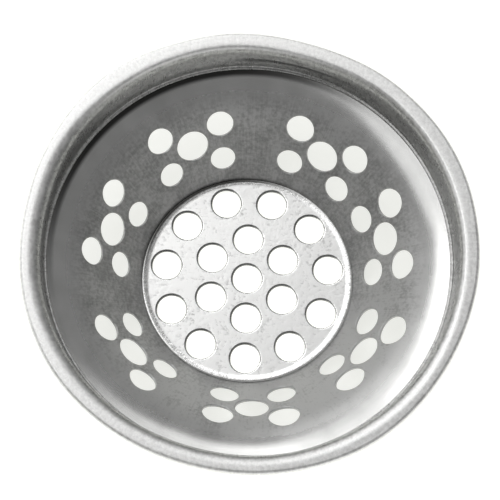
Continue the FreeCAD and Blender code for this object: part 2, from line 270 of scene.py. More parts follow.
class StudioSettings(bpy.types.PropertyGroup):
    """Floor, air, lights and camera of the studio."""

    floor_size: length("Floor size", "Side of the floor", 4000.0)
    floor_colour: colour("Floor colour", "Paint of the floor", (0.4, 0.4, 0.395))
    floor_roughness: roughness("Floor roughness", "How matte the floor is", 0.9)
    floor_tint: colour("Floor tint", "Colour of the floor's glow", (0.99, 1.0, 0.95))
    floor_glow: brightness("Floor glow", "Glow of the open floor", 0.93)
    floor_shade: brightness("Floor shade", "Glow of the floor below the bowl's wall", 0.66)
    shade_inside: length("Shade inside", "Axis to the inside of the dim ring", 19.3)
    shade_inside_fade: length("Shade inside fade", "Width of the fade at the ring's inside", 1.0)
    shade_outside: length("Shade outside", "Ring's middle to its outside", 35.0)
    shade_outside_fade: length("Shade outside fade", "Width of the fade at the ring's outside", 4.0)
    shade_shift: length("Shade shift", "How far the ring's outside lies behind the axis", 3.5)
    air_light: brightness("Air light", "Even light from all round", 0.2)
    horizon_light: brightness("Horizon light", "Paler light at the horizon", 0.6)
    light_distance: length("Light distance", "Middle of the foot to each light", 900.0)
    camera_place: FloatVectorProperty(
        name="Camera place", description="Where the camera stands", subtype="TRANSLATION", unit="LENGTH",
        default=(0.00010556, -0.0765030383, 0.270747817), precision=5
    )
    camera_dip: angle("Camera dip", "How far the camera looks down from level", 73.07)
    camera_turn: angle("Camera turn", "Turn of the camera about the upright", 4.61)
    camera_lens: FloatProperty(
        name="Lens", description="Focal length of the camera", default=108.0, unit="CAMERA"
    )
    camera_sensor: FloatProperty(
        name="Sensor", description="Width of the camera's sensor", default=36.0, unit="CAMERA"
    )


def unit(turn):
    """The (radius, height) direction at an angle from outwards, counted upwards."""
    return Vector((math.cos(turn), math.sin(turn)))


def section_lines(sizes):
    """Bend centres and the wall's line, worked out from the sizes, as (radius, height) points."""
    draft = sizes.collar_draft
    curl = Vector((sizes.rim_radius - sizes.edge_radius, sizes.rim_top - sizes.edge_radius))
    bend = Vector((curl.x - sizes.rim_flat, sizes.rim_top - sizes.rim_bend))
    lip_top = sizes.rim_top - sizes.collar_depth
    inward = unit(math.pi - draft)
    collar_top = bend + sizes.rim_bend * inward
    foot_height = lip_top + sizes.collar_foot_bend
    collar_drop = collar_top.y - foot_height + sizes.collar_foot_bend * inward.y
    collar_foot = collar_top.x - collar_drop * math.tan(draft)
    foot = Vector((collar_foot + sizes.collar_foot_bend * inward.x, foot_height))
    skirt_bend = sizes.collar_foot_bend + sizes.rim_gauge + sizes.seam
    seat_bend = sizes.plate_bend + sizes.plate_gauge + sizes.seam
    seat = Vector((sizes.plate_flat_radius, seat_bend + sizes.bowl_gauge))
    shoulder_reach = sizes.shoulder_radius + skirt_bend
    foot_offset = sizes.shoulder_radius - shoulder_reach * math.cos(sizes.shoulder_turn)
    gap = foot - seat
    wall = math.atan2(gap.y, gap.x) + math.asin((foot_offset + seat_bend) / gap.length)
    slope = wall - sizes.shoulder_turn
    return SimpleNamespace(
        draft=draft, curl=curl, bend=bend, collar_top=collar_top, lip_top=lip_top, foot=foot,
        skirt_bend=skirt_bend, seat=seat, seat_bend=seat_bend, wall=wall, slope=slope,
        plate_top=seat.y - sizes.plate_bend,
        wall_foot=seat + seat_bend * unit(wall - math.pi / 2),
        shoulder=foot + shoulder_reach * unit(slope - math.pi / 2),
    )


class SectionPen:
    """Draws the section of a sheet in edit mode, stroke by stroke, and revolves it round the axis."""

    def __init__(self, name, start):
        bpy.ops.object.select_all(action="DESELECT")
        bpy.ops.mesh.primitive_plane_add(size=MM, location=(start.x, 0.0, start.y))
        self.piece = bpy.context.object
        self.piece.name = name
        self.piece.data.name = name
        bpy.ops.object.transform_apply(location=True, rotation=True, scale=True)
        bpy.ops.object.mode_set(mode="EDIT")
        bpy.ops.mesh.select_mode(type="VERT")
        bpy.ops.mesh.select_all(action="SELECT")
        bpy.ops.mesh.merge(type="CENTER")
        self.at = start.copy()

    def line(self, end, steps=1):
        """Draws a straight stroke to a point, in a number of equal parts."""
        part = (end - self.at) / steps
        for _ in range(steps):
            bpy.ops.mesh.extrude_vertices_move(TRANSFORM_OT_translate={"value": (part.x, 0.0, part.y)})
        self.at = end.copy()

    def arc(self, centre, turn, steps):
        """Draws a round stroke about a centre, counter-clockwise for a positive turn."""
        bpy.ops.mesh.spin(steps=steps, angle=turn, center=(centre.x, 0.0, centre.y), axis=(0.0, 1.0, 0.0))
        arm = self.at - centre
        self.at = centre + arm.length * unit(math.atan2(arm.y, arm.x) + turn)

    def round_corners(self, corners, reach):
        """Rounds the section's corners at the given points, before it is revolved."""
        bpy.ops.mesh.select_all(action="SELECT")
        bpy.ops.mesh.remove_doubles(threshold=WELD)
        bpy.ops.mesh.select_all(action="DESELECT")
        mesh = bmesh.from_edit_mesh(self.piece.data)
        for vertex in mesh.verts:
            place = Vector((vertex.co.x, vertex.co.z))
            vertex.select_set(any((place - corner).length < 10 * WELD for corner in corners))
        bmesh.update_edit_mesh(self.piece.data)
        bpy.ops.mesh.bevel(offset=reach, segments=3, affect="VERTICES")

    def revolve(self, steps):
        """Closes the section and turns it once round the axis."""
        bpy.ops.mesh.select_all(action="SELECT")
        bpy.ops.mesh.remove_doubles(threshold=WELD)
        bpy.ops.mesh.select_all(action="SELECT")
        bpy.ops.mesh.spin(steps=steps, angle=2 * math.pi, center=(0.0, 0.0, 0.0), axis=(0.0, 0.0, 1.0))
        bpy.ops.mesh.select_all(action="SELECT")
        bpy.ops.mesh.remove_doubles(threshold=WELD)
        bpy.ops.mesh.normals_make_consistent(inside=False)
        bpy.ops.object.mode_set(mode="OBJECT")
        return self.piece


def activate(piece):
    """Makes a piece the active object and the only one selected."""
    bpy.ops.object.select_all(action="DESELECT")
    piece.select_set(True)
    bpy.context.view_layer.objects.active = piece


def finish_piece(piece, node, finish):
    """Shades a piece, gives it its finish, and lets it stand for its node of the frame."""
    activate(piece)
    bpy.ops.object.shade_smooth_by_angle(angle=SMOOTH_ANGLE)
    bpy.ops.object.modifier_add(type="WEIGHTED_NORMAL")
    shading = piece.modifiers[-1]
    shading.keep_sharp = True
    bpy.ops.object.modifier_apply(modifier=shading.name)
    piece.data.materials.clear()
    piece.data.materials.append(finish)
    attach(piece, "root")
    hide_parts(node)


def punch(piece, holes, sides, roll):
    """Punches round holes through a sheet and rounds the edge that the punch goes in by."""
    bpy.ops.object.select_all(action="DESELECT")
    punches = []
    for hole in holes:
        bpy.ops.mesh.primitive_cylinder_add(
            vertices=sides, radius=hole.radius + roll, depth=2 * hole.radius,
            location=hole.centre, rotation=hole.axis.to_track_quat("Z", "Y").to_euler()
        )
        punches.append(bpy.context.object)
    for tool in punches:
        tool.select_set(True)
    bpy.context.view_layer.objects.active = punches[0]
    bpy.ops.object.join()
    tool = bpy.context.object
    activate(piece)
    bpy.ops.object.modifier_add(type="BOOLEAN")
    cut = piece.modifiers[-1]
    cut.operation = "DIFFERENCE"
    cut.solver = "EXACT"
    cut.object = tool
    bpy.ops.object.modifier_apply(modifier=cut.name)
    bpy.data.objects.remove(tool)
    bpy.ops.object.mode_set(mode="EDIT")
    bpy.ops.mesh.select_mode(type="VERT")
    bpy.ops.mesh.select_all(action="SELECT")
    bpy.ops.mesh.remove_doubles(threshold=5 * WELD)
    bpy.ops.mesh.select_mode(type="FACE")
    select_inside_holes(piece, holes, roll)
    bpy.ops.mesh.delete(type="FACE")
    bpy.ops.mesh.select_mode(type="EDGE")
    for hole in holes:
        roll_hole_edge(piece, hole, roll)
    bpy.ops.mesh.select_all(action="SELECT")
    bpy.ops.mesh.normals_make_consistent(inside=False)
    bpy.ops.mesh.select_mode(type="FACE")
    select_inside_holes(piece, holes, roll)
    bpy.ops.mesh.region_to_loop()
    bpy.ops.mesh.mark_sharp()
    bpy.ops.object.mode_set(mode="OBJECT")


def from_axis(hole, point):
    """Distance of a point from a hole's axis, and its height above the hole's centre."""
    arm = point - hole.centre
    height = arm.dot(hole.axis)
    return (arm - height * hole.axis).length, height


def select_inside_holes(piece, holes, roll):
    """Selects the faces that lie wholly within the holes and their rounded edges."""
    bpy.ops.mesh.select_all(action="DESELECT")
    mesh = bmesh.from_edit_mesh(piece.data)
    mesh.faces.ensure_lookup_table()
    centres = KDTree(len(mesh.faces))
    for number, face in enumerate(mesh.faces):
        centres.insert(face.calc_center_median(), number)
    centres.balance()
    for hole in holes:
        reach = hole.radius + roll + 10 * WELD
        for _, number, _ in centres.find_range(hole.centre, 1.5 * hole.radius):
            face = mesh.faces[number]
            if all(from_axis(hole, vertex.co)[0] < reach for vertex in face.verts):
                face.select_set(True)
    bmesh.update_edit_mesh(piece.data)


def open_loops(mesh, hole):
    """The two open loops of edges round a hole, the lower one first."""
    near = hole.radius + EDGE_ROOM
    left = {
        edge for edge in mesh.edges
        if edge.is_boundary and from_axis(hole, edge.verts[0].co)[0] < near
    }
    loops = []
    while left:
        loop = []
        front = [left.pop()]
        while front:
            edge = front.pop()
            loop.append(edge)
            joined = {other for vertex in edge.verts for other in vertex.link_edges if other in left}
            left -= joined
            front.extend(joined)
        loops.append(loop)
    if len(loops) != 2:
        raise RuntimeError(f"a drain hole has {len(loops)} open loops instead of two")

    def height(loop):
        return sum(from_axis(hole, edge.verts[0].co)[1] for edge in loop) / len(loop)

    return sorted(loops, key=height)


def select_open_edges(piece, hole, lower, upper):
    """Selects the lower or the upper open loop round a hole, or both."""
    bpy.ops.mesh.select_all(action="DESELECT")
    mesh = bmesh.from_edit_mesh(piece.data)
    for loop, wanted in zip(open_loops(mesh, hole), (lower, upper)):
        for edge in loop:
            if wanted:
                edge.select_set(True)
    bmesh.update_edit_mesh(piece.data)


def shrink_loop(hole, scale, drop):
    """Extrudes the selected loop towards a hole's axis and sinks it."""
    bpy.ops.mesh.extrude_edges_move(TRANSFORM_OT_translate={"value": -drop * hole.axis})
    bpy.ops.transform.resize(value=(scale, scale, scale), center_override=hole.centre - drop * hole.axis)


def roll_hole_edge(piece, hole, roll, steps=3):
    """Rounds a hole's upper edge in short steps, squares its lower edge and joins the two."""
    select_open_edges(piece, hole, lower=False, upper=True)
    reach, sunk = hole.radius + roll, 0.0
    for step in range(1, steps + 1):
        turn = step / steps * math.pi / 2
        new_reach = hole.radius + roll * (1 - math.sin(turn))
        new_sunk = roll * (1 - math.cos(turn))
        shrink_loop(hole, new_reach / reach, new_sunk - sunk)
        reach, sunk = new_reach, new_sunk
    select_open_edges(piece, hole, lower=True, upper=False)
    shrink_loop(hole, hole.radius / (hole.radius + roll), 0.0)
    select_open_edges(piece, hole, lower=True, upper=True)
    bpy.ops.mesh.bridge_edge_loops()


def wall_holes(lines, holes):
    """The five holes of each group in the wall, square to it, with their centres on its inner side."""
    spots = (
        (0.0, 0.0, holes.middle),
        (holes.upper_rise, -holes.upper_half_span, holes.upper),
        (holes.upper_rise, holes.upper_half_span, holes.upper),
        (-holes.lower_drop, -holes.lower_half_span, holes.lower),
        (-holes.lower_drop, holes.lower_half_span, holes.lower),
    )
    made = []
    for group_bearing, group_twist, outer_share in WALL_GROUPS:
        twist = math.radians(group_twist)
        for along, across, width in spots:
            rise = holes.group_rise + along * math.cos(twist) + across * math.sin(twist)
            aside = across * math.cos(twist) - along * math.sin(twist)
            place = lines.wall_foot + rise * unit(lines.wall)
            bearing = math.radians(group_bearing) + aside / place.x
            across_axis = Vector((math.cos(bearing), math.sin(bearing), 0.0))
            centre = place.x * across_axis + Vector((0.0, 0.0, place.y))
            axis = Vector((0.0, 0.0, math.cos(lines.wall))) - math.sin(lines.wall) * across_axis
            share = outer_share if along else 1.0
            made.append(SimpleNamespace(centre=centre, axis=axis, radius=share * width / 2))
    return made


def shade_hole_edges(piece, holes, roll, bearing):
    """Notes for the finish how far each vertex in the holes lies on the side where a shadow is painted,
    towards the key light.
    """
    note = piece.data.attributes.new(HOLE_SHADOW, "FLOAT", "POINT")
    shadow_towards = Vector((math.cos(bearing), math.sin(bearing), 0.0))
    for vertex in piece.data.vertices:
        for hole in holes:
            reach = from_axis(hole, vertex.co)[0]
            if reach < hole.radius + 0.9 * roll:
                towards = (vertex.co - hole.centre).dot(shadow_towards) / reach
                note.data[vertex.index].value = smooth_step(towards, 0.1, 0.7)


def plate_holes(flat, top, holes):
    """The hole in the middle of the plate, the outer ring of holes and the inner ring half as far out."""
    outer_ring = flat - holes.outer_inset
    made = []
    for reach, start, count in (
        (0.0, 0.0, 1),
        (outer_ring / 2, holes.inner_start, holes.inner_count),
        (outer_ring, holes.outer_start, holes.outer_count),
    ):
        for number in range(count):
            bearing = start + number * 2 * math.pi / count
            centre = Vector((reach * math.cos(bearing), reach * math.sin(bearing), top))
            axis = Vector((0.0, 0.0, 1.0))
            made.append(SimpleNamespace(centre=centre, axis=axis, radius=holes.plate / 2))
    return made


def smooth_step(value, start, end):
    """Smooth step from 0 at start to 1 at end."""
    share = min(max((value - start) / (end - start), 0.0), 1.0)
    return share * share * (3 - 2 * share)


def tighten_bend(piece, sizes, lines):
    """Narrows the bend from the rim into the collar on one side, where the rim's flat is wider."""
    group = piece.vertex_groups.new(name="tight_bend")
    return_inner = lines.curl.x - sizes.return_width - 0.1 * MM
    return_upper = lines.curl.y - 0.2 * MM
    full_radius = lines.bend.x - 0.7 * MM
    full_height = lines.bend.y + 1.0 * MM
    for vertex in piece.data.vertices:
        place = vertex.co
        radius = place.xy.length
        if radius < return_inner or place.z > return_upper:
            side = math.cos(math.atan2(place.y, place.x) - sizes.tight_bearing)
            weight = smooth_step(side, -0.25, 0.6)
            weight *= smooth_step(radius, lines.curl.x, full_radius)
            weight *= smooth_step(place.z, lines.bend.y, full_height)
            group.add([vertex.index], weight, "REPLACE")
    activate(piece)
    bpy.ops.object.modifier_add(type="CAST")
    narrow = piece.modifiers[-1]
    narrow.cast_type = "CYLINDER"
    narrow.use_z = False
    narrow.use_radius_as_size = False
    narrow.size = lines.collar_top.x
    narrow.factor = sizes.tightening
    narrow.vertex_group = group.name
    bpy.ops.object.modifier_apply(modifier=narrow.name)
    piece.vertex_groups.clear()


def bend_rim(piece, sizes, lines):
    """Pushes the rim out or in at a few bearings, so that it is as uneven as a used one."""
    activate(piece)
    bpy.ops.object.mode_set(mode="EDIT")
    bpy.ops.mesh.select_mode(type="VERT")
    skirt_top = lines.foot.y + sizes.skirt_height + sizes.rim_gauge
    for bearing, push in RIM_BENDS:
        held_radius = lines.bend.x + WELD if push > 0 else 0.0
        select_vertices(piece, lambda place: place.z < skirt_top or place.xy.length < held_radius)
        bpy.ops.mesh.hide(unselected=False)
        turn = math.radians(bearing)
        outward = Vector((math.cos(turn), math.sin(turn), 0.0))
        edge = sizes.rim_radius * outward
        select_vertices(
            piece,
            lambda place: (place - edge).xy.length < PUSH_DEPTH
            and abs(place.cross(outward).z) < PUSH_HALF_WIDTH
        )
        bpy.ops.transform.translate(
            value=push * MM * outward, use_proportional_edit=True,
            proportional_edit_falloff="SMOOTH", proportional_size=PUSH_REACH
        )
        bpy.ops.mesh.reveal(select=False)
    bpy.ops.object.mode_set(mode="OBJECT")


def select_vertices(piece, chosen):
    """Selects the visible vertices of the piece in edit mode that the test chooses by their place."""
    bpy.ops.mesh.select_all(action="DESELECT")
    mesh = bmesh.from_edit_mesh(piece.data)
    for vertex in mesh.verts:
        if not vertex.hide and chosen(vertex.co):
            vertex.select_set(True)
    bmesh.update_edit_mesh(piece.data)


class Nodes:
    """Adds nodes to a tree and links them."""

    def __init__(self, tree):
        self.tree = tree

    def add(self, kind, inputs=(), **settings):
        """Adds a node, with its settings, and sets or links its inputs."""
        node = self.tree.nodes.new(kind)
        for key, value in settings.items():
            setattr(node, key, value)
        for key, value in dict(inputs).items():
            if isinstance(value, bpy.types.NodeSocket):
                self.tree.links.new(value, node.inputs[key])
            else:
                node.inputs[key].default_value = value
        return node

    def number(self, operation, *values):
        """Result of an operation on numbers."""
        return self.add("ShaderNodeMath", dict(enumerate(values)), operation=operation).outputs[0]

    def vector(self, operation, *values):
        """Node for an operation on vectors."""
        return self.add("ShaderNodeVectorMath", dict(enumerate(values)), operation=operation)

    def ramp(self, value, start, end, low=0.0, high=1.0):
        """Smooth step of a value, from low at start to high at end."""
        settings = dict(enumerate((value, start, end, low, high)))
        return self.add("ShaderNodeMapRange", settings, interpolation_type="SMOOTHSTEP").outputs[0]


class SteelNodes(Nodes):
    """Builds the node material of one piece of steel from patterns that follow its round shape."""

    def __init__(self, name, metal=1.0):
        self.material = bpy.data.materials.new(name)
        self.material.use_nodes = True
        super().__init__(self.material.node_tree)
        self.shader = self.tree.nodes["Principled BSDF"]
        self.shader.inputs["Metallic"].default_value = metal
        self.place = self.add("ShaderNodeTexCoord").outputs["Object"]
        split = self.add("ShaderNodeSeparateXYZ", {0: self.place})
        level = self.add("ShaderNodeCombineXYZ", {0: split.outputs[0], 1: split.outputs[1]}).outputs[0]
        self.height = split.outputs[2]
        self.radius = self.vector("LENGTH", level).outputs["Value"]
        self.outward = self.vector("NORMALIZE", level).outputs[0]
        self.section = self.add("ShaderNodeCombineXYZ", {0: self.radius, 1: self.height}).outputs[0]

    def noise(self, place, scale, detail=3.0, roughness=0.6):
        """Cloudy pattern between 0 and 1."""
        settings = {"Vector": place, "Scale": scale, "Detail": detail, "Roughness": roughness}
        return self.add("ShaderNodeTexNoise", settings).outputs[0]

    def speckle(self, scale):
        """Fine spots with more contrast than plain clouds."""
        return self.ramp(self.noise(self.place, scale), 0.32, 0.68)

    def streaks(self, lines, drift):
        """Fine lines that run from the axis outwards, as many round the piece as lines says."""
        lift = self.add("ShaderNodeCombineXYZ", {2: self.times(self.radius, drift)}).outputs[0]
        place = self.vector("MULTIPLY_ADD", self.outward, (lines, lines, 0.0), lift).outputs[0]
        return self.noise(place, 1.0, 4.0, 0.65)

    def rings(self, scale):
        """Faint lines round the axis, from the drawing and turning of the sheet."""
        drift = self.add("ShaderNodeVectorMath", {0: self.outward, "Scale": 0.4 / scale}, operation="SCALE")
        place = self.vector("ADD", self.section, drift.outputs[0]).outputs[0]
        return self.noise(place, scale, 3.0, 0.7)

    def scratches(self, turn, length, width):
        """Sparse straight scuffs at one angle in the plane of the piece."""
        scale = (1.0 / length, 1.0 / width, 1.0 / length)
        settings = {"Vector": self.place, "Rotation": (0.0, 0.0, turn), "Scale": scale}
        place = self.add("ShaderNodeMapping", settings).outputs[0]
        return self.ramp(self.noise(place, 1.0, 2.0, 0.5), 0.62, 0.74)

    def total(self, base, *terms):
        """A base value plus each pattern's swing about its middle, times its weight."""
        value = base - sum(weight / 2 for _, weight in terms)
        for pattern, weight in terms:
            value = self.number("MULTIPLY_ADD", pattern, weight, value)
        return value

    def reach(self, centre):
        """Distance from a (radius, height) point in the plane of the section."""
        return self.vector("DISTANCE", self.section, (centre.x, centre.y, 0.0)).outputs["Value"]

    def side(self, bearing):
        """How far a place lies towards a bearing, from -1 to 1."""
        towards = (math.cos(bearing), math.sin(bearing), 0.0)
        return self.vector("DOT_PRODUCT", self.outward, towards).outputs["Value"]

    def times(self, first, second):
        """Product of two values."""
        return self.number("MULTIPLY", first, second)

    def larger(self, first, second):
        """The larger of two values."""
        return self.number("MAXIMUM", first, second)

    def colour(self, factor, dark, light):
        """Mix of two colours."""
        return self.add(
            "ShaderNodeMix", {0: factor, 6: (*dark, 1.0), 7: (*light, 1.0)}, data_type="RGBA"
        ).outputs[2]

    def mix(self, factor, first, second, data_type):
        """Mix of two values or colours that are already sockets."""
        low, high, out = {"RGBA": (6, 7, 2), "FLOAT": (2, 3, 0)}[data_type]
        settings = {0: factor, low: first, high: second}
        return self.add("ShaderNodeMix", settings, data_type=data_type).outputs[out]

    def finish(self, colour, roughness, relief, depth):
        """Links colour, roughness and relief to the shader and gives the material."""
        bump = self.add("ShaderNodeBump", {"Strength": 1.0, "Distance": depth, "Height": relief})
        self.tree.links.new(colour, self.shader.inputs["Base Color"])
        self.tree.links.new(roughness, self.shader.inputs["Roughness"])
        self.tree.links.new(bump.outputs[0], self.shader.inputs["Normal"])
        return self.material


def rim_finish(looks, lines):
    """Bright scuffed steel on top of the rim, and darker satin steel on the collar below it."""
    steel = SteelNodes("rim_finish")
    streaks = steel.streaks(150.0, 500.0)
    rings = steel.rings(3500.0)
    mottle = steel.noise(steel.place, 420.0, 4.0)
    speckle = steel.speckle(1500.0)
    upper = steel.ramp(steel.height, lines.bend.y + looks.bright_from, lines.bend.y + looks.bright_to)
    outer = steel.ramp(steel.radius, lines.bend.x, lines.curl.x)
    top = steel.larger(upper, outer)
    shade = steel.total(0.6, (streaks, 0.7), (rings, 0.5), (mottle, 0.9), (speckle, 0.8))
    collar_colour = steel.colour(shade, looks.collar_dark, looks.collar_light)
    top_colour = steel.colour(shade, looks.rim_dark, looks.rim_light)
    collar_roughness = steel.total(looks.collar_roughness, (mottle, 0.1), (streaks, 0.06))
    top_roughness = steel.total(looks.rim_roughness, (mottle, 0.16), (speckle, 0.1))
    return steel.finish(
        steel.mix(top, collar_colour, top_colour, "RGBA"),
        steel.mix(top, collar_roughness, top_roughness, "FLOAT"),
        steel.total(0.5, (streaks, 0.5), (rings, 0.5), (mottle, 0.8), (speckle, 0.6)),
        depth=0.016 * MM,
    )


def shadow_side(steel, looks):
    """Share of the painted shadow at a place round the piece, darkest on the side that the key light comes
    from.
    """
    return steel.ramp(steel.side(looks.shadow_bearing), 0.2, 0.95, 0.08, 1.0)


def bowl_finish(looks, lines, shoulder_radius):
    """Drawn steel with fine lines down the wall and a cleaner shoulder, with a painted shadow below the lip
    and the wall painted lighter on one side.
    """
    steel = SteelNodes("bowl_finish", metal=0.8)
    streaks = steel.streaks(110.0, 260.0)
    rings = steel.rings(2600.0)
    mottle = steel.noise(steel.place, 260.0, 5.0)
    stain = steel.noise(steel.place, 60.0, 3.0)
    cloud = steel.noise(steel.place, 150.0, 2.0)
    speckle = steel.speckle(1600.0)
    lip = lines.foot.x
    shoulder = steel.ramp(steel.radius, lip - looks.shoulder_from, lip - looks.shoulder_to)
    # Painted light: the wall's colour is lighter on the side where the key light falls on it.
    worn = steel.ramp(steel.side(looks.lit_side_bearing), -0.2, 0.9)
    shade = steel.total(
        0.75, (streaks, 1.4), (rings, 0.5), (mottle, 1.9), (stain, 1.2), (speckle, 0.7), (worn, 0.5)
    )
    wall_colour = steel.colour(shade, looks.wall_dark, looks.wall_light)
    clouds = steel.total(0.5, (cloud, 1.2), (stain, 0.9), (mottle, 0.3))
    shoulder_colour = steel.colour(clouds, looks.shoulder_dark, looks.shoulder_light)
    clean_colour = steel.mix(shoulder, wall_colour, shoulder_colour, "RGBA")
    # Painted shadow on the shoulder right below the lip, where the collar keeps the key light off it.
    seam = steel.ramp(steel.radius, lip - looks.lip_shadow_from, lip - looks.lip_shadow_to)
    within = steel.ramp(steel.radius, lip, lip + 0.5 * MM, 1.0, 0.0)
    reach = steel.reach(lines.shoulder)
    inside = steel.ramp(reach, shoulder_radius - 0.35 * MM, shoulder_radius - 0.1 * MM)
    painted_shadow = steel.times(steel.times(seam, shadow_side(steel, looks)), steel.times(within, inside))
    wall_roughness = steel.total(looks.wall_roughness, (mottle, 0.08), (stain, 0.1), (speckle, 0.06))
    shoulder_roughness = steel.total(looks.shoulder_roughness, (cloud, 0.05), (stain, 0.05))
    wall_relief = steel.total(0.5, (streaks, 0.6), (rings, 0.2), (mottle, 0.6), (speckle, 0.4))
    shoulder_relief = steel.total(0.5, (mottle, 0.1), (speckle, 0.08))
    return steel.finish(
        steel.mix(painted_shadow, clean_colour, (*looks.shadow_colour, 1.0), "RGBA"),
        steel.mix(shoulder, wall_roughness, shoulder_roughness, "FLOAT"),
        steel.mix(shoulder, wall_relief, shoulder_relief, "FLOAT"),
        depth=0.014 * MM,
    )


def disc_finish(looks, lines):
    """Bright matte sheet with small scuffs, polished on its edges, with painted shadow along its edge by
    the wall and on one side of its holes.
    """
    steel = SteelNodes("disc_finish")
    mottle = steel.noise(steel.place, 380.0, 5.0)
    stain = steel.noise(steel.place, 110.0, 3.0)
    speckle = steel.speckle(1500.0)
    scuff_one = steel.scratches(0.5, 6.0 * MM, 0.25 * MM)
    scuff_two = steel.scratches(-0.9, 4.0 * MM, 0.22 * MM)
    shade = steel.total(
        0.88, (mottle, 1.9), (stain, 0.7), (speckle, 1.0), (scuff_one, -0.4), (scuff_two, -0.4)
    )
    clean_colour = steel.colour(shade, looks.disc_dark, looks.disc_light)
    matte = steel.total(looks.disc_roughness, (mottle, 0.14), (scuff_one, 0.1), (scuff_two, 0.1))
    polished = steel.total(looks.disc_edge_roughness, (mottle, 0.08))
    outer_edge = steel.ramp(steel.radius, lines.seat.x - 0.4 * MM, lines.seat.x)
    hole_edge = steel.ramp(steel.height, lines.plate_top - 0.001 * MM, lines.plate_top - 0.012 * MM)
    edge = steel.larger(outer_edge, hole_edge)
    bend = lines.seat.x
    # Painted shadow in the gap where the disc's edge meets the wall.
    seam = steel.ramp(steel.radius, bend + looks.disc_shadow_from, bend + looks.disc_shadow_to)
    # Painted shadow on one side of each hole's edge, where the crescent of shade falls.
    shadowed = steel.add("ShaderNodeAttribute", attribute_name=HOLE_SHADOW).outputs["Fac"]
    painted_shadow = steel.larger(
        steel.times(seam, shadow_side(steel, looks)), steel.times(shadowed, looks.hole_shadow_share)
    )
    return steel.finish(
        steel.mix(painted_shadow, clean_colour, (*looks.shadow_colour, 1.0), "RGBA"),
        steel.mix(edge, matte, polished, "FLOAT"),
        steel.total(0.5, (mottle, 0.9), (speckle, 0.6), (scuff_one, -0.5), (scuff_two, -0.5)),
        depth=0.016 * MM,
    )


class STRAINER_OT_rolled_rim(bpy.types.Operator):
    """Models the rim with its curled edge, the collar below it and the lip at the collar's foot"""

    bl_idname = "strainer.rolled_rim"
    bl_label = "Rolled rim"

    def execute(self, context):
        sizes = context.scene.strainer_sizes
        lines = section_lines(sizes)
        gauge, draft = sizes.rim_gauge, lines.draft
        up = Vector((0.0, 1.0))
        collar = unit(-draft)
        lip_edge = Vector((lines.foot.x - sizes.lip_width, lines.lip_top))
        return_edge = lines.curl - Vector((sizes.return_width, sizes.edge_radius))

        pen = SectionPen("rolled_rim", lip_edge)
        pen.line(Vector((lines.foot.x, lines.lip_top)))
        pen.arc(lines.foot, math.pi / 2 - draft, 6)
        pen.line(lines.collar_top, 6)
        pen.arc(lines.bend, draft - math.pi / 2, 18)
        pen.line(lines.curl + sizes.edge_radius * up)
        pen.arc(lines.curl, -math.pi, 16)
        pen.line(return_edge)
        pen.line(return_edge + gauge * up)
        pen.line(lines.curl - (sizes.edge_radius - gauge) * up)
        pen.arc(lines.curl, math.pi, 10)
        pen.line(lines.bend + (sizes.rim_bend - gauge) * up)
        pen.arc(lines.bend, math.pi / 2 - draft, 16)
        pen.line(lines.foot + (sizes.collar_foot_bend + gauge) * collar, 6)
        pen.arc(lines.foot, draft - math.pi / 2, 8)
        pen.line(lip_edge - gauge * up)
        pen.line(lip_edge)
        pen.round_corners(
            (lip_edge, lip_edge - gauge * up, return_edge, return_edge + gauge * up), sizes.cut_edge
        )
        rim = pen.revolve(sizes.revolve_steps)
        tighten_bend(rim, sizes, lines)
        bend_rim(rim, sizes, lines)
        finish_piece(rim, "rim_ring", rim_finish(context.scene.strainer_looks, lines))
        return {"FINISHED"}


class STRAINER_OT_drain_bowl(bpy.types.Operator):
    """Models the bowl with its skirt, shoulder and seat, and punches the groups of holes in its wall"""

    bl_idname = "strainer.drain_bowl"
    bl_label = "Drain bowl"

    def execute(self, context):
        sizes = context.scene.strainer_sizes
        holes = context.scene.strainer_holes
        lines = section_lines(sizes)
        gauge, draft, wall, slope = sizes.bowl_gauge, lines.draft, lines.wall, lines.slope
        up = Vector((0.0, 1.0))
        seat_edge = Vector((lines.seat.x - sizes.seat_width, gauge))
        collar = unit(-draft)
        skirt_rise = sizes.skirt_height - lines.skirt_bend * collar.y
        lean = Vector((math.tan(draft), 1.0))
        skirt_inner = lines.foot + lines.skirt_bend * collar + skirt_rise * lean
        skirt_outer = skirt_inner + Vector((gauge / math.cos(draft), 0.0))

        pen = SectionPen("drain_bowl", seat_edge)
        pen.line(Vector((lines.seat.x, gauge)))
        pen.arc(lines.seat, wall, 10)
        pen.line(lines.shoulder + sizes.shoulder_radius * unit(wall + math.pi / 2))
        pen.arc(lines.shoulder, slope - wall, 24)
        pen.arc(lines.foot, math.pi / 2 - slope - draft, 8)
        pen.line(skirt_inner)
        pen.line(skirt_outer)
        pen.line(lines.foot + (lines.skirt_bend + gauge) * collar)
        pen.arc(lines.foot, draft + slope - math.pi / 2, 8)
        pen.arc(lines.shoulder, wall - slope, 24)
        pen.line(lines.seat + (lines.seat_bend + gauge) * unit(wall - math.pi / 2))
        pen.arc(lines.seat, -wall, 10)
        pen.line(seat_edge - gauge * up)
        pen.line(seat_edge)
        pen.round_corners(
            (seat_edge, seat_edge - gauge * up, skirt_inner, skirt_outer), sizes.cut_edge
        )
        bowl = pen.revolve(sizes.revolve_steps)
        punch(bowl, wall_holes(lines, holes), holes.sides, holes.wall_roll)
        finish = bowl_finish(context.scene.strainer_looks, lines, sizes.shoulder_radius)
        finish_piece(bowl, "strainer_bowl", finish)
        return {"FINISHED"}


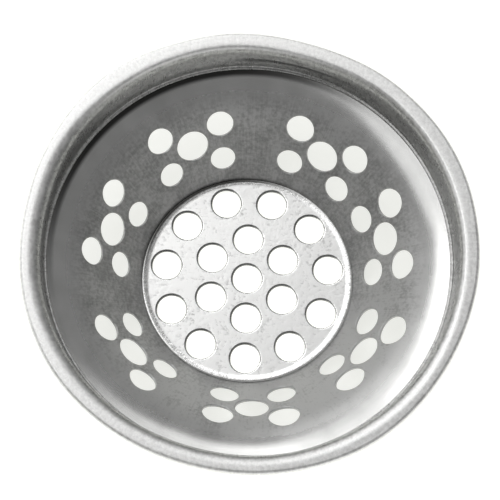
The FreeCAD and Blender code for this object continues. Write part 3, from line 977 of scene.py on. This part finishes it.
class STRAINER_OT_bottom_disc(bpy.types.Operator):
    """Models the flat bottom disc with its turned-up edge, and punches its holes"""

    bl_idname = "strainer.bottom_disc"
    bl_label = "Bottom disc"

    def execute(self, context):
        sizes = context.scene.strainer_sizes
        holes = context.scene.strainer_holes
        lines = section_lines(sizes)
        gauge, wall, roll = sizes.plate_gauge, lines.wall, holes.plate_roll
        up = Vector((0.0, 1.0))
        top = lines.plate_top
        start = Vector((holes.plate / 4, top))
        rim_inner = lines.seat + sizes.plate_bend * unit(wall - math.pi / 2)
        rim_outer = lines.seat + (sizes.plate_bend + gauge) * unit(wall - math.pi / 2)
        rim_edge = rim_inner.lerp(rim_outer, sizes.edge_set)
        slope, sweep = sizes.edge_slope, sizes.edge_sweep
        straight_rise = rim_edge.y - top - sweep * (1 - math.cos(slope))
        sweep_start = rim_edge.x - straight_rise / math.tan(slope) - sweep * math.sin(slope)

        pen = SectionPen("bottom_disc", start)
        pen.line(Vector((sweep_start, top)), 4)
        pen.arc(Vector((sweep_start, top + sweep)), slope, 6)
        pen.line(rim_edge, 2)
        pen.line(rim_outer)
        pen.arc(lines.seat, -wall, 8)
        pen.line(start - gauge * up, 4)
        pen.line(start)
        pen.round_corners((rim_edge, rim_outer), sizes.cut_edge)
        disc = pen.revolve(sizes.revolve_steps)
        drains = plate_holes(sizes.plate_flat_radius, top, holes)
        punch(disc, drains, holes.sides, roll)
        shade_hole_edges(disc, drains, roll, holes.hole_shadow_bearing)
        finish_piece(disc, "bottom_plate", disc_finish(context.scene.strainer_looks, lines))
        return {"FINISHED"}


def shaded_glow(nodes, studio):
    """The floor's glow, dimmer in a ring below the bowl's wall than in the open and under the disc."""
    glow, shade = studio.floor_glow, studio.floor_shade
    inside, outside = studio.shade_inside, studio.shade_outside
    place = nodes.add("ShaderNodeTexCoord").outputs["Object"]
    distance = nodes.vector("LENGTH", place).outputs["Value"]
    behind = nodes.vector("DISTANCE", place, (0.0, studio.shade_shift, 0.0)).outputs["Value"]
    inner = nodes.ramp(distance, inside, inside + studio.shade_inside_fade, glow, shade)
    outer = nodes.ramp(behind, outside - studio.shade_outside_fade, outside, shade, glow)
    return nodes.number("MAXIMUM", inner, outer)


def pale_air(studio):
    """Even light from all round, paler at the horizon as in a white cove."""
    air = bpy.data.worlds.new("studio_air")
    air.use_nodes = True
    nodes = Nodes(air.node_tree)
    background = air.node_tree.nodes["Background"]
    split = nodes.add("ShaderNodeSeparateXYZ", {0: nodes.add("ShaderNodeTexCoord").outputs["Generated"]})
    strength = nodes.ramp(split.outputs[2], 0.0, HORIZON_RISE, studio.horizon_light, studio.air_light)
    air.node_tree.links.new(strength, background.inputs["Strength"])
    background.inputs["Color"].default_value = (1.0, 1.0, 1.0, 1.0)
    return air


def add_floor(context, studio):
    """Lays the plain floor, which glows a little so that it stays pale in the shadows."""
    bpy.ops.object.select_all(action="DESELECT")
    bpy.ops.mesh.primitive_plane_add(size=studio.floor_size, location=(0.0, 0.0, 0.0))
    floor = context.object
    floor.name = "studio_floor"
    paint = bpy.data.materials.new("floor_paint")
    paint.use_nodes = True
    shader = paint.node_tree.nodes["Principled BSDF"]
    shader.inputs["Base Color"].default_value = (*studio.floor_colour, 1.0)
    shader.inputs["Roughness"].default_value = studio.floor_roughness
    shader.inputs["Emission Color"].default_value = (*studio.floor_tint, 1.0)
    glow = shaded_glow(Nodes(paint.node_tree), studio)
    paint.node_tree.links.new(glow, shader.inputs["Emission Strength"])
    floor.data.materials.append(paint)


def add_light(context, distance, name, bearing, rise, width, height, brightness):
    """Hangs a soft light that faces the strainer, as bright per area as its brightness says."""
    across = Vector((math.cos(math.radians(bearing)), math.sin(math.radians(bearing)), 0.0))
    towards = math.cos(math.radians(rise)) * across + Vector((0.0, 0.0, math.sin(math.radians(rise))))
    bpy.ops.object.light_add(type="AREA", location=distance * towards)
    light = context.object
    light.name = name
    light.rotation_euler = (-towards).to_track_quat("-Z", "Y").to_euler()
    light.visible_camera = False
    light.data.shape = "ELLIPSE"
    light.data.size = width
    light.data.size_y = height
    light.data.energy = brightness * math.pi * (math.pi * width * height / 4)


def add_camera(context, studio):
    """Sets up the camera that looks down into the strainer."""
    bpy.ops.object.camera_add(location=studio.camera_place)
    camera = context.object
    camera.name = "studio_camera"
    camera.rotation_mode = "ZYX"
    camera.rotation_euler = (math.pi / 2 - studio.camera_dip, 0.0, studio.camera_turn)
    camera.data.lens = studio.camera_lens
    camera.data.sensor_width = studio.camera_sensor
    context.scene.camera = camera


class STRAINER_OT_studio(bpy.types.Operator):
    """Sets up the floor, the lights and the camera"""

    bl_idname = "strainer.studio"
    bl_label = "Studio"

    def execute(self, context):
        studio = context.scene.strainer_studio
        add_floor(context, studio)
        for light in STUDIO_LIGHTS:
            add_light(context, studio.light_distance, *light)
        context.scene.world = pale_air(studio)
        add_camera(context, studio)
        context.scene.view_settings.view_transform = "Standard"
        return {"FINISHED"}


class STRAINER_PT_pieces(bpy.types.Panel):
    """Lists the strainer's pieces and its stage"""

    bl_idname = "STRAINER_PT_pieces"
    bl_label = "Sink strainer"
    bl_space_type = "VIEW_3D"
    bl_region_type = "UI"
    bl_category = "Strainer"

    def draw(self, context):
        for step in STEPS:
            self.layout.operator(step.bl_idname)
        for name in GROUPS:
            group = getattr(context.scene, name)
            box = self.layout.box()
            for key in group.__annotations__:
                box.prop(group, key)


GROUPS = {
    "strainer_sizes": StrainerSizes,
    "strainer_holes": HoleSizes,
    "strainer_looks": StrainerLooks,
    "strainer_studio": StudioSettings,
}
STEPS = (STRAINER_OT_rolled_rim, STRAINER_OT_drain_bowl, STRAINER_OT_bottom_disc, STRAINER_OT_studio)
CLASSES = (*GROUPS.values(), *STEPS, STRAINER_PT_pieces)


def register():
    """Registers the classes and hangs their groups of settings on the scene."""
    for part in CLASSES:
        bpy.utils.register_class(part)
    for name, group in GROUPS.items():
        setattr(bpy.types.Scene, name, PointerProperty(type=group))


def unregister():
    """Takes the settings and the classes away again."""
    for name in GROUPS:
        delattr(bpy.types.Scene, name)
    for part in reversed(CLASSES):
        bpy.utils.unregister_class(part)


def main():
    """Registers the classes, then builds the strainer and its stage."""
    register()
    bpy.ops.strainer.rolled_rim()
    bpy.ops.strainer.drain_bowl()
    bpy.ops.strainer.bottom_disc()
    bpy.ops.strainer.studio()


if __name__ == "__main__":
    main()
